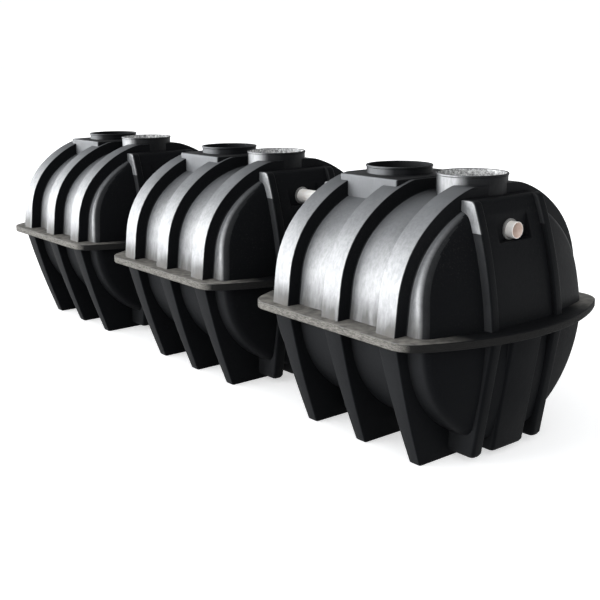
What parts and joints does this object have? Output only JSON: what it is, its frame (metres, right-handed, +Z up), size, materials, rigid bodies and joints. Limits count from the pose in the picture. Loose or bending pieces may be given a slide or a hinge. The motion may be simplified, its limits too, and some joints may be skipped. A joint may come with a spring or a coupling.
{
  "type": "vehicle wash separator",
  "caption": "Row of ribbed black plastic tanks joined by short pipes, with open access necks on top, that settles and separates vehicle wash water.",
  "frame": {"origin": "on the ground under the middle of the row of tanks", "axes": "+X along the row towards the outlet, +Z up, the tanks mirrored about Y = 0"},
  "size_m": [6.4, 1.97, 1.885],
  "materials": {
    "black_polyethylene": "satin rotomoulded polyethylene with scuffs and dust",
    "pipe_pvc": "smooth off-white PVC",
    "seal_rubber": "matt grey rubber"
  },
  "bodies": {
    "root": {"rear_tank_upper_half": "black_polyethylene", "rear_tank_lower_half": "black_polyethylene", "rear_tank_front_neck": "black_polyethylene", "rear_tank_rear_riser": "black_polyethylene", "rear_tank_rear_neck": "black_polyethylene", "rear_tank_inlet_seal": "seal_rubber", "rear_tank_outlet_seal": "seal_rubber", "middle_tank_upper_half": "black_polyethylene", "middle_tank_lower_half": "black_polyethylene", "middle_tank_front_neck": "black_polyethylene", "middle_tank_rear_riser": "black_polyethylene", "middle_tank_rear_neck": "black_polyethylene", "middle_tank_inlet_seal": "seal_rubber", "middle_tank_outlet_seal": "seal_rubber", "front_tank_upper_half": "black_polyethylene", "front_tank_lower_half": "black_polyethylene", "front_tank_front_neck": "black_polyethylene", "front_tank_rear_riser": "black_polyethylene", "front_tank_rear_neck": "black_polyethylene", "front_tank_inlet_seal": "seal_rubber", "front_tank_outlet_seal": "seal_rubber", "inlet_stub": "pipe_pvc", "rear_link": "pipe_pvc", "front_link": "pipe_pvc", "outlet_stub": "pipe_pvc"}
  },
  "joints": []
}
